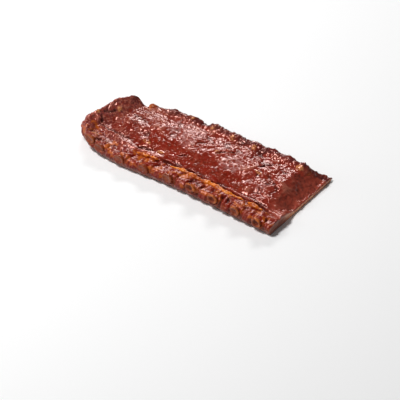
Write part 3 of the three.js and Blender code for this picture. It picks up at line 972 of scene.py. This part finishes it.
def meat_material(settings):
    n = Nodes("glazed meat")
    colour = browned_colour(n, settings)
    colour = pool_colour(n, colour, settings)
    colour = rim_colour(n, colour, settings)
    colour = n.blend(n.times(n.mask("band"), 0.3), colour, settings.glaze_colour)
    colour = left_colour(n, colour, settings)
    colour = front_colour(n, colour, settings)
    colour = spotted_colour(n, colour, settings)
    colour = n.blend(n.times(n.mask("bone_side"), 0.7), colour, settings.membrane_colour)
    colour = n.blend(n.mask("cut_face"), colour, cut_colour(n, settings))
    n.link(colour, n.shader.inputs["Base Color"])
    n.link(meat_roughness(n), n.shader.inputs["Roughness"])
    n.link(meat_bump(n), n.shader.inputs["Normal"])
    n.link(n.bump(n.noise(2.5, 2), 0.3), n.shader.inputs["Coat Normal"])
    n.shine(MEAT_SHINE, settings.sheen_colour)
    return n.material


def bone_material(settings):
    n = Nodes("browned bone")
    colour = n.blend(n.band(n.noise(6, 4, 0.4), 0.45, 0.65), settings.bone_colour, settings.brown_colour)
    # Painted shade on the lower left of the sawn ends and the right of the knobs, and real glaze where an
    # end is covered, both in the glaze brown.
    shaded = n.most(n.times(n.mask("shaded"), 0.8), n.mask("covered"))
    colour = n.blend(shaded, colour, settings.brown_colour)
    marrow = n.blend(n.band(n.noise(2.5, 3), 0.42, 0.6), settings.marrow_colour, settings.pit_colour)
    colour = n.blend(n.mask("marrow"), colour, marrow)
    n.link(colour, n.shader.inputs["Base Color"])
    roughness = n.most(n.band(n.noise(3, 2), 0.3, 0.7, 0.18, 0.3), n.times(n.mask("marrow"), 0.6))
    n.link(roughness, n.shader.inputs["Roughness"])
    n.link(n.bump(n.noise(1.6, 3), 0.4), n.shader.inputs["Normal"])
    n.shine(BONE_SHINE, settings.sheen_colour)
    return n.material


def fat_material(settings):
    n = Nodes("rendered fat")
    colour = n.blend(n.band(n.noise(7, 4, 0.5), 0.5, 0.7), settings.fat_colour, settings.light_colour)
    cover = n.maths("ADD", n.noise(9, 4, 0.4), n.times(n.mask("glazed"), 0.3))
    colour = n.blend(n.band(cover, 0.53, 0.66, 0, 0.85), colour, settings.brown_colour)
    n.link(colour, n.shader.inputs["Base Color"])
    n.link(n.band(n.noise(3, 2), 0.3, 0.7, 0.2, 0.34), n.shader.inputs["Roughness"])
    n.link(n.bump(n.noise(1.5, 3), 0.4), n.shader.inputs["Normal"])
    n.shine(FAT_SHINE, settings.sheen_colour)
    return n.material


# Stage
def build_floor(settings):
    bm = bmesh.new()
    bmesh.ops.create_grid(bm, x_segments=1, y_segments=1, size=FLOOR_REACH)
    floor = piece_from(bm, "floor")
    n = Nodes("pale floor")
    n.shader.inputs["Base Color"].default_value = (*settings.floor_colour, 1.0)
    n.shader.inputs["Roughness"].default_value = FLOOR_ROUGHNESS
    floor.data.materials.append(n.material)


def build_light(name, direction, distance, width, height, power):
    """A soft light that faces the rack from that direction."""
    light = bpy.data.lights.new(name, "AREA")
    light.shape = "RECTANGLE"
    light.size = width
    light.size_y = height
    light.energy = power
    lamp = bpy.data.objects.new(name, light)
    towards = Vector(direction).normalized()
    lamp.location = towards * distance
    lamp.rotation_euler = towards.to_track_quat("Z", "Y").to_euler()
    bpy.context.scene.collection.objects.link(lamp)


def build_camera(settings):
    """A long lens that looks at the rack from above its front right corner."""
    camera = bpy.data.cameras.new("camera")
    camera.sensor_width = 36.0
    camera.lens = settings.camera_distance * camera.sensor_width / settings.frame_width
    camera.clip_end = 50.0
    holder = bpy.data.objects.new("camera", camera)
    azimuth, elevation = settings.azimuth, settings.elevation
    level = math.cos(elevation)
    back = Vector((math.sin(azimuth) * level, -math.cos(azimuth) * level, math.sin(elevation)))
    holder.location = Vector(settings.look_at) + back * settings.camera_distance
    holder.rotation_euler = back.to_track_quat("Z", "Y").to_euler()
    bpy.context.scene.collection.objects.link(holder)
    bpy.context.scene.camera = holder


def build_world(settings):
    world = bpy.data.worlds.new("studio")
    world.use_nodes = True
    background = world.node_tree.nodes["Background"]
    background.inputs["Color"].default_value = (1.0, 1.0, 1.0, 1.0)
    background.inputs["Strength"].default_value = settings.sky
    bpy.context.scene.world = world


# Settings that a user would change
def colour_property(name, description, default):
    return FloatVectorProperty(
        name=name, description=description, default=default, subtype="COLOR", size=3, min=0.0, max=1.0
    )


def relief_property(description):
    return FloatProperty(name="Relief", description=description, default=1.0, subtype="FACTOR")


def unit_property(name, description, default, unit):
    return FloatProperty(name=name, description=description, default=default, unit=unit)


def angle_property(name, description, degrees):
    return FloatProperty(name=name, description=description, default=math.radians(degrees), subtype="ANGLE")


class MeatSettings(bpy.types.PropertyGroup):
    relief: relief_property("How strong the lumps and folds are")
    glaze_colour: colour_property("Glaze", "Smooth dark glaze", (0.215, 0.007, 0.001))
    brown_colour: colour_property("Brown", "Darker parts of the smooth glaze", (0.13, 0.012, 0.004))
    ember_colour: colour_property("Embers", "Red specks in the smooth glaze", (0.36, 0.06, 0.03))
    flap_colour: colour_property("Flap", "Thin meat of the carved end", (0.4, 0.075, 0.045))
    meat_colour: colour_property("Meat", "Browned meat under the glaze", (0.25, 0.026, 0.012))
    rough_colour: colour_property("Rough meat", "Meat of the rough patches", (0.27, 0.034, 0.02))
    # Lighter lump tops with painted highlight, also the painted sparkle of the left end.
    peak_and_highlight_colour: colour_property("Peaks", "Tops of the lumps", (0.4, 0.11, 0.07))
    # Film of fat and painted sheen.
    film_and_sheen_colour: colour_property("Film", "Thin film of fat on the glaze", (0.46, 0.22, 0.2))
    # Painted sparkle of the left part.
    highlight_mottle_colour: colour_property("Mottles", "Light mottles of the left part", (0.44, 0.14, 0.095))
    spot_colour: colour_property("Spots", "Light fatty spots", (0.68, 0.28, 0.1))
    crack_colour: colour_property("Cracks", "Dark cracks", (0.02, 0.003, 0.003))
    sheen_colour: colour_property("Sheen", "Tint of the glaze's shine", (1.0, 0.5, 0.42))
    # Dark crust, also used as painted shade in the pits and at the foot of the front wall.
    char_and_shade_colour: colour_property("Char", "Dark crust in the pits", (0.055, 0.01, 0.008))
    skin_colour: colour_property("Skin", "Matte skin of the left end", (0.34, 0.066, 0.044))
    # Also painted shade at the foot of the front wall.
    purple_colour: colour_property("Purple", "Darker parts of the rims and ends", (0.15, 0.03, 0.032))
    orange_colour: colour_property("Orange", "Fat that shows through the front band", (0.5, 0.105, 0.012))
    cut_colour: colour_property("Cut meat", "Cooked meat of the carved end", (0.55, 0.17, 0.09))
    cut_fat_colour: colour_property("Cut fat", "Fat in the carved end", (0.75, 0.36, 0.19))
    cut_brown_colour: colour_property("Cut edge", "Browned part of the carved end", (0.22, 0.07, 0.045))
    membrane_colour: colour_property("Membrane", "Skin of the bone side", (0.22, 0.07, 0.04))


class BoneSettings(bpy.types.PropertyGroup):
    relief: relief_property("How uneven the bones are")
    bone_colour: colour_property("Bone", "Browned bone", (0.56, 0.14, 0.03))
    # Glaze on the bone, also the painted shade of the bones.
    brown_colour: colour_property("Glaze", "Glaze on the bone", (0.2, 0.028, 0.01))
    marrow_colour: colour_property("Marrow", "Middle of the sawn ends", (0.24, 0.035, 0.012))
    pit_colour: colour_property("Pits", "Pits in the middle of the sawn ends", (0.1, 0.014, 0.006))
    sheen_colour: colour_property("Sheen", "Tint of the glaze's shine", (1.0, 0.6, 0.45))


class FatSettings(bpy.types.PropertyGroup):
    relief: relief_property("How lumpy the fat is")
    fat_colour: colour_property("Fat", "Rendered fat", (0.72, 0.17, 0.012))
    light_colour: colour_property("Light fat", "Clear spots in the fat", (0.86, 0.33, 0.05))
    brown_colour: colour_property("Glaze", "Glaze on the fat", (0.36, 0.045, 0.008))
    sheen_colour: colour_property("Sheen", "Tint of the fat's shine", (1.0, 0.7, 0.45))


class StageSettings(bpy.types.PropertyGroup):
    azimuth: angle_property("Azimuth", "Turn of the camera", 40.5)
    elevation: angle_property("Elevation", "Height angle of the camera", 35.7)
    camera_distance: unit_property("Distance", "Camera to rack", 12.0, "LENGTH")
    frame_width: unit_property("Frame", "Width that the picture takes in", 0.524, "LENGTH")
    look_at: FloatVectorProperty(
        name="Look at",
        description="Point in the middle of the picture",
        default=(0.0509, -0.0661, 0.0),
        unit="LENGTH",
    )
    floor_colour: colour_property("Floor", "Plain pale floor", (0.96, 0.96, 0.96))
    sky: FloatProperty(name="Sky", description="Strength of the light all round", default=0.09)
    above: unit_property("Light above", "Power of the light above", 50.0, "POWER")
    behind: unit_property("Light behind", "Power of the light behind", 22.0, "POWER")
    front: unit_property("Light in front", "Power of the light in front", 6.0, "POWER")
    side: unit_property("Light at the side", "Power of the light at the carved end", 2.5, "POWER")


class SPARERIBS_OT_meat(bpy.types.Operator):
    """Build the glazed meat in place of its plain solid"""

    bl_idname = "spareribs.meat"
    bl_label = "Glazed Meat"

    def execute(self, context):
        settings = context.scene.spareribs_meat
        remove_old("glazed_meat")
        piece = build_meat(settings)
        piece.data.materials.append(meat_material(settings))
        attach(piece, "root")
        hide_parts("rack_meat")
        return {"FINISHED"}


class SPARERIBS_OT_bones(bpy.types.Operator):
    """Build the rib bones in place of their plain solids"""

    bl_idname = "spareribs.bones"
    bl_label = "Rib Bones"

    def execute(self, context):
        settings = context.scene.spareribs_bone
        material = bone_material(settings)
        for i in range(RIB_COUNT):
            remove_old(f"rib_{i + 1}")
            piece = build_bone(i, settings)
            piece.data.materials.append(material)
            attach(piece, "root")
            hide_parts(f"rib_bone_{i + 1}")
        return {"FINISHED"}


class SPARERIBS_OT_fat(bpy.types.Operator):
    """Build the strips of fat in place of their plain solids"""

    bl_idname = "spareribs.fat"
    bl_label = "Fat Strips"

    def execute(self, context):
        settings = context.scene.spareribs_fat
        material = fat_material(settings)
        for number, (near, far, half_width) in enumerate(FAT_STRIPS, start=1):
            remove_old(f"crease_fat_{number}")
            piece = build_fat_strip(number, near, far, half_width, settings)
            piece.data.materials.append(material)
            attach(piece, "root")
            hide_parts(f"fat_strip_{number}")
        return {"FINISHED"}


class SPARERIBS_OT_stage(bpy.types.Operator):
    """Set up the floor, the soft light and the camera"""

    bl_idname = "spareribs.stage"
    bl_label = "Stage"

    def execute(self, context):
        settings = context.scene.spareribs_stage
        build_floor(settings)
        build_world(settings)
        for name, (direction, distance, width, height) in LIGHTS.items():
            build_light(name, direction, distance, width, height, getattr(settings, name))
        build_camera(settings)
        context.scene.view_settings.view_transform = "Standard"
        return {"FINISHED"}


class SPARERIBS_PT_panel(bpy.types.Panel):
    """Lists the pieces of the rack and their settings"""

    bl_idname = "SPARERIBS_PT_panel"
    bl_label = "Spareribs"
    bl_space_type = "VIEW_3D"
    bl_region_type = "UI"
    bl_category = "Spareribs"

    def draw(self, context):
        for operator, group in (
            (SPARERIBS_OT_meat, context.scene.spareribs_meat),
            (SPARERIBS_OT_bones, context.scene.spareribs_bone),
            (SPARERIBS_OT_fat, context.scene.spareribs_fat),
            (SPARERIBS_OT_stage, context.scene.spareribs_stage),
        ):
            box = self.layout.box()
            box.operator(operator.bl_idname)
            for key in group.__annotations__:
                box.prop(group, key)


CLASSES = (
    MeatSettings,
    BoneSettings,
    FatSettings,
    StageSettings,
    SPARERIBS_OT_meat,
    SPARERIBS_OT_bones,
    SPARERIBS_OT_fat,
    SPARERIBS_OT_stage,
    SPARERIBS_PT_panel,
)


def register():
    for cls in CLASSES:
        bpy.utils.register_class(cls)
    bpy.types.Scene.spareribs_meat = PointerProperty(type=MeatSettings)
    bpy.types.Scene.spareribs_bone = PointerProperty(type=BoneSettings)
    bpy.types.Scene.spareribs_fat = PointerProperty(type=FatSettings)
    bpy.types.Scene.spareribs_stage = PointerProperty(type=StageSettings)


def unregister():
    for name in ("spareribs_meat", "spareribs_bone", "spareribs_fat", "spareribs_stage"):
        delattr(bpy.types.Scene, name)
    for cls in reversed(CLASSES):
        bpy.utils.unregister_class(cls)


def main():
    register()
    bpy.ops.spareribs.meat()
    bpy.ops.spareribs.bones()
    bpy.ops.spareribs.fat()
    bpy.ops.spareribs.stage()


if __name__ == "__main__":
    main()
